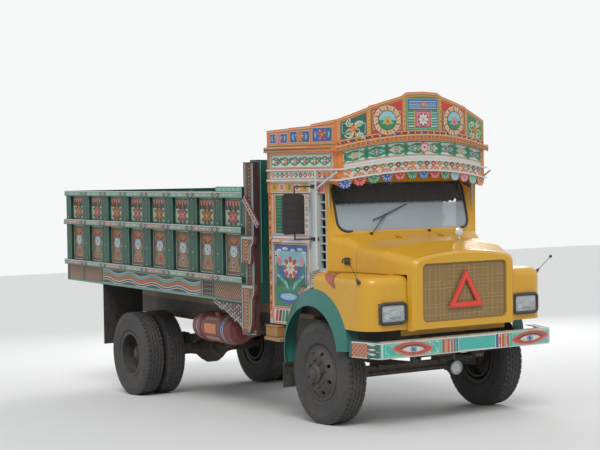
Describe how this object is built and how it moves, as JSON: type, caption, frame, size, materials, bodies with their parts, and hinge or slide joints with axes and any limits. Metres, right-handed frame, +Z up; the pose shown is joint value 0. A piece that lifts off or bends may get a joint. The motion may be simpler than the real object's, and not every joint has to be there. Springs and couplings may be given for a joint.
{
  "type": "decorated goods truck",
  "caption": "Bonneted goods truck with a hand-painted cab, crown board and open timber load body on twin rear wheels.",
  "frame": {"origin": "on the floor, at the middle of the bounding box's base", "axes": "+X forward, +Y to the truck's left, +Z up; the floor is z = 0"},
  "size_m": [7.0422, 2.543, 3.2706],
  "materials": {
    "painted_frame": "semi-gloss, dusty",
    "spring_steel": "dull, dusty",
    "engine_paint": "oily",
    "tank_paint": "hand painted bands",
    "box_paint": "dull",
    "bumper_paint": "hand painted, gloss",
    "lamp_glass": "clear lenses",
    "yellow_paint": "gloss",
    "mesh_brown": "satin mesh",
    "teal_paint": "gloss",
    "screen_glass": "clear",
    "cab_paint": "hand painted",
    "dash_plastic": "dull",
    "seat_cloth": "worn",
    "fascia_paint": "hand painted, gloss",
    "rail_paint": "gloss",
    "mirror_black": "gloss back, mirror glass",
    "step_paint": "worn",
    "floor_wood": "bare planks",
    "side_paint": "hand painted planks",
    "post_paint": "hand painted",
    "flap_rubber": "dusty",
    "rim_paint": "dusty",
    "tyre": "dusty"
  },
  "bodies": {
    "chassis": {"battery_box": "box_paint", "cab_body": "cab_paint", "cab_rails": "rail_paint", "chassis_frame": "painted_frame", "corner_posts": "post_paint", "crown_board": "fascia_paint", "dashboard": "dash_plastic", "engine": "engine_paint", "exhaust": "painted_frame", "fascia": "fascia_paint", "fender_flares": "teal_paint", "front_axle": "painted_frame", "front_bumper": "bumper_paint", "front_panel": "yellow_paint", "fuel_tank": "tank_paint", "headboard": "side_paint", "lamps": "lamp_glass", "leaf_springs": "spring_steel", "load_floor": "floor_wood", "mirrors": "mirror_black", "mud_flaps": "flap_rubber", "propeller_shaft": "painted_frame", "rear_axle": "painted_frame", "rear_sill": "painted_frame", "seats": "seat_cloth", "side_board_left": "side_paint", "side_board_right": "side_paint", "steps": "step_paint", "windscreen": "screen_glass", "windscreen_cowl": "yellow_paint", "wings": "yellow_paint"},
    "bonnet": {"bonnet_lid": "yellow_paint", "grille": "mesh_brown"},
    "left_door": {"door_left": "cab_paint"},
    "right_door": {"door_right": "cab_paint"},
    "gate": {"tailgate": "side_paint"},
    "left_knuckle": {"knuckle_left": "painted_frame"},
    "right_knuckle": {"knuckle_right": "painted_frame"},
    "tie_bar": {"track_rod": "painted_frame"},
    "left_front_wheel": {"rim_front_left": "rim_paint", "tyre_front_left": "tyre"},
    "right_front_wheel": {"rim_front_right": "rim_paint", "tyre_front_right": "tyre"},
    "left_rear_wheels": {"rims_rear_left": "rim_paint", "tyres_rear_left": "tyre"},
    "right_rear_wheels": {"rims_rear_right": "rim_paint", "tyres_rear_right": "tyre"},
    "steering": {"steering_wheel": "dash_plastic"}
  },
  "joints": [
    {"name": "bonnet_lift", "type": "hinge", "parent": "chassis", "child": "bonnet", "pos_m": [2.83628, 0, 1.8334], "axis": [0, -1, 0], "range_deg": [0, 50]},
    {"name": "left_door_swing", "type": "hinge", "parent": "chassis", "child": "left_door", "pos_m": [2.27344, 0.99776, 1.81482], "axis": [-0.0523, 0, -0.9986], "range_deg": [0, 65]},
    {"name": "right_door_swing", "type": "hinge", "parent": "chassis", "child": "right_door", "pos_m": [2.27344, -0.99776, 1.81482], "axis": [0.0523, 0, 0.9986], "range_deg": [0, 65]},
    {"name": "gate_drop", "type": "hinge", "parent": "chassis", "child": "gate", "pos_m": [-3.50038, 0, 1.66172], "axis": [0, -1, 0], "range_deg": [0, 170]},
    {"name": "steer_left", "type": "hinge", "parent": "chassis", "child": "left_knuckle", "pos_m": [2.52261, 0.84, 0.51], "axis": [0, 0, 1], "range_deg": [-35, 35]},
    {"name": "steer_right", "type": "hinge", "parent": "chassis", "child": "right_knuckle", "pos_m": [2.52261, -0.84, 0.51], "axis": [0, 0, 1], "range_deg": [-35, 35]},
    {"name": "track_rod_turn", "type": "hinge", "parent": "left_knuckle", "child": "tie_bar", "pos_m": [2.33261, 0.84, 0.36], "axis": [0, 0, 1], "range_deg": [-35, 35]},
    {"name": "steering_wheel_turn", "type": "hinge", "parent": "chassis", "child": "steering", "pos_m": [2.2187, -0.52, 1.68551], "axis": [-0.4763, 0, 0.8793], "range_deg": [-420, 420]},
    {"name": "left_front_spin", "type": "hinge", "parent": "left_knuckle", "child": "left_front_wheel", "pos_m": [2.52261, 0.9825, 0.51], "axis": [0, 1, 0], "continuous": true},
    {"name": "right_front_spin", "type": "hinge", "parent": "right_knuckle", "child": "right_front_wheel", "pos_m": [2.52261, -0.9825, 0.51], "axis": [0, 1, 0], "continuous": true},
    {"name": "left_rear_spin", "type": "hinge", "parent": "chassis", "child": "left_rear_wheels", "pos_m": [-1.70118, 0.8885, 0.51], "axis": [0, 1, 0], "continuous": true},
    {"name": "right_rear_spin", "type": "hinge", "parent": "chassis", "child": "right_rear_wheels", "pos_m": [-1.70118, -0.8885, 0.51], "axis": [0, 1, 0], "continuous": true}
  ],
  "couplings": [
    {"joint": "steer_right", "follows": "steer_left", "ratio": 1},
    {"joint": "track_rod_turn", "follows": "steer_left", "ratio": -1},
    {"joint": "steering_wheel_turn", "follows": "steer_left", "ratio": 12}
  ]
}
